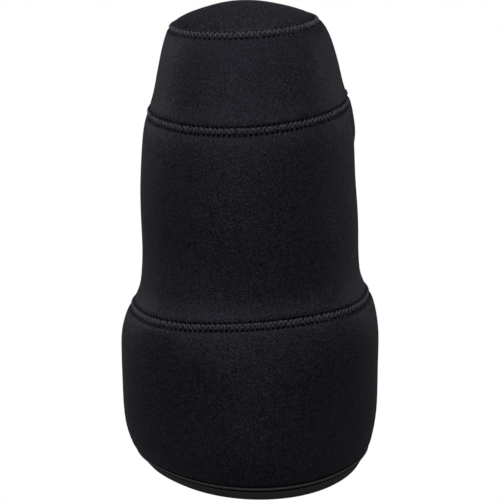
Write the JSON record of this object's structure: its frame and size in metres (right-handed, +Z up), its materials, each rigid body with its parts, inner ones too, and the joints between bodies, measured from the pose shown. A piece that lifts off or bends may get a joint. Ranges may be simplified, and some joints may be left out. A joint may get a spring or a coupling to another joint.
{
  "type": "neoprene lens cover",
  "caption": "Soft neoprene slip-on cover for a long camera lens: a stepped sleeve with a domed closed end, flat-stitched seams and a bound open hem.",
  "frame": {"origin": "on the floor, under the middle of the cover's outline seen from above", "axes": "+Z up from the open hem to the domed end; -Y is the front, away from the closing seams at the back; +X to the right"},
  "size_m": [0.1244, 0.1248, 0.2264],
  "materials": {
    "neoprene": "matt knitted jersey over closed-cell foam",
    "thread": "soft filament thread",
    "binding": "folded elastic tape"
  },
  "bodies": {
    "root": {"end_cap_panel": "neoprene", "taper_panel": "neoprene", "barrel_panel": "neoprene", "hood_panel": "neoprene", "hem_binding": "binding", "cap_seam_cover_thread": "thread", "cap_seam_looper_thread": "thread", "taper_seam_cover_thread": "thread", "taper_seam_looper_thread": "thread", "hood_seam_cover_thread": "thread", "hood_seam_looper_thread": "thread", "taper_closing_cover_thread": "thread", "taper_closing_looper_thread": "thread", "barrel_closing_cover_thread": "thread", "barrel_closing_looper_thread": "thread", "hood_closing_cover_thread": "thread", "hood_closing_looper_thread": "thread", "binding_stitch_outer": "thread", "binding_stitch_inner": "thread"}
  },
  "joints": []
}
